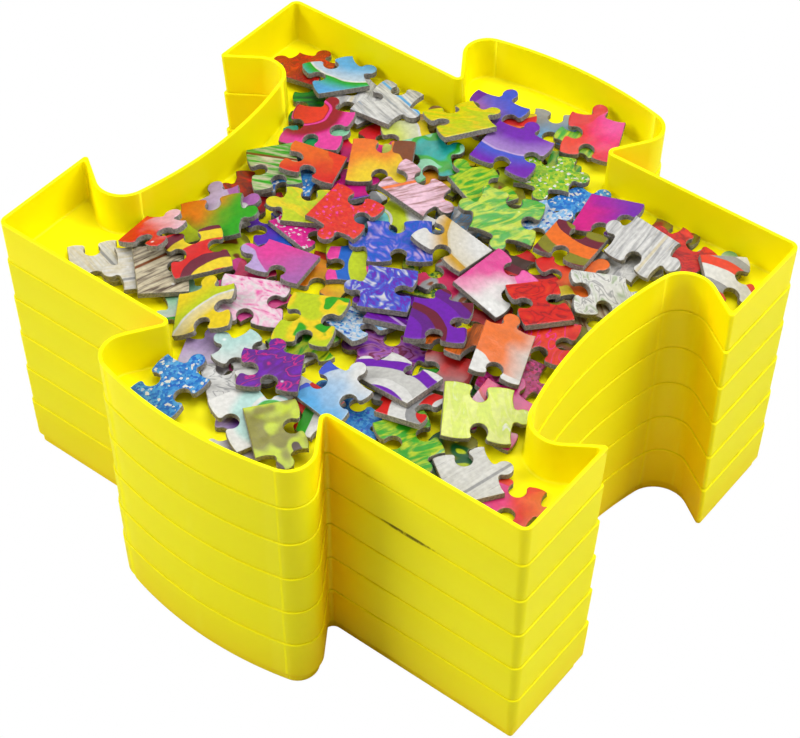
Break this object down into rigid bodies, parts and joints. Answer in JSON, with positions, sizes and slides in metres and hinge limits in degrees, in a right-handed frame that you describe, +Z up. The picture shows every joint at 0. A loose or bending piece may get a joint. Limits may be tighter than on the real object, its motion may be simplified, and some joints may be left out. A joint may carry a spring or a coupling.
{
  "type": "jigsaw puzzle storage case",
  "caption": "Stack of nesting sorting trays shaped like a jigsaw piece, with loose jigsaw pieces in the open top tray.",
  "frame": {"origin": "centre of the stack in plan, at the underside of the bottom tray's foot", "axes": "+Z up out of the trays; the knobs point along +Y and -Y and the sockets open at +X and -X"},
  "size_m": [0.2, 0.2008, 0.1008],
  "materials": {
    "yellow_plastic": "satin",
    "printed_card": "gloss",
    "printed_card_lower": "gloss"
  },
  "bodies": {
    "tray_1_body": {"tray_1": "yellow_plastic"},
    "tray_2_body": {"tray_2": "yellow_plastic"},
    "tray_3_body": {"tray_3": "yellow_plastic"},
    "tray_4_body": {"tray_4": "yellow_plastic"},
    "tray_5_body": {"tray_5": "yellow_plastic"},
    "tray_6_body": {"tray_6": "yellow_plastic"},
    "lower_heap": {"lower_pieces_1": "printed_card_lower", "lower_pieces_2": "printed_card_lower", "lower_pieces_3": "printed_card_lower", "lower_pieces_4": "printed_card_lower", "lower_pieces_5": "printed_card_lower", "lower_pieces_6": "printed_card_lower", "middle_pieces_1": "printed_card_lower", "middle_pieces_2": "printed_card_lower", "middle_pieces_3": "printed_card_lower", "middle_pieces_4": "printed_card_lower", "middle_pieces_5": "printed_card_lower", "middle_pieces_6": "printed_card_lower"},
    "upper_heap": {"jigsaw_piece_01": "printed_card", "jigsaw_piece_02": "printed_card", "jigsaw_piece_03": "printed_card", "jigsaw_piece_04": "printed_card", "jigsaw_piece_05": "printed_card", "jigsaw_piece_06": "printed_card", "jigsaw_piece_07": "printed_card", "jigsaw_piece_08": "printed_card", "jigsaw_piece_09": "printed_card", "jigsaw_piece_10": "printed_card", "jigsaw_piece_11": "printed_card", "jigsaw_piece_12": "printed_card", "jigsaw_piece_13": "printed_card", "jigsaw_piece_14": "printed_card", "jigsaw_piece_15": "printed_card", "jigsaw_piece_16": "printed_card", "jigsaw_piece_17": "printed_card", "jigsaw_piece_18": "printed_card", "jigsaw_piece_19": "printed_card", "jigsaw_piece_20": "printed_card", "jigsaw_piece_21": "printed_card", "jigsaw_piece_22": "printed_card", "jigsaw_piece_23": "printed_card", "jigsaw_piece_24": "printed_card", "jigsaw_piece_25": "printed_card", "jigsaw_piece_26": "printed_card", "jigsaw_piece_27": "printed_card", "jigsaw_piece_28": "printed_card", "jigsaw_piece_29": "printed_card", "jigsaw_piece_30": "printed_card", "jigsaw_piece_31": "printed_card", "jigsaw_piece_32": "printed_card", "jigsaw_piece_33": "printed_card", "jigsaw_piece_34": "printed_card", "jigsaw_piece_35": "printed_card", "jigsaw_piece_36": "printed_card", "jigsaw_piece_37": "printed_card", "jigsaw_piece_38": "printed_card", "jigsaw_piece_39": "printed_card", "jigsaw_piece_40": "printed_card", "jigsaw_piece_41": "printed_card", "jigsaw_piece_42": "printed_card"}
  },
  "joints": [
    {"name": "lift_tray_2", "type": "slide", "parent": "tray_1_body", "child": "tray_2_body", "axis": [0, 0, 1], "range_m": [0, 0.04]},
    {"name": "lift_tray_3", "type": "slide", "parent": "tray_2_body", "child": "tray_3_body", "axis": [0, 0, 1], "range_m": [0, 0.04]},
    {"name": "lift_tray_4", "type": "slide", "parent": "tray_3_body", "child": "tray_4_body", "axis": [0, 0, 1], "range_m": [0, 0.04]},
    {"name": "lift_tray_5", "type": "slide", "parent": "tray_4_body", "child": "tray_5_body", "axis": [0, 0, 1], "range_m": [0, 0.04]},
    {"name": "lift_tray_6", "type": "slide", "parent": "tray_5_body", "child": "tray_6_body", "axis": [0, 0, 1], "range_m": [0, 0.04]},
    {"name": "lift_lower_heap", "type": "slide", "parent": "tray_6_body", "child": "lower_heap", "axis": [0, 0, 1], "range_m": [0, 0.04]},
    {"name": "lift_upper_heap", "type": "slide", "parent": "lower_heap", "child": "upper_heap", "axis": [0, 0, 1], "range_m": [0, 0.04]}
  ]
}
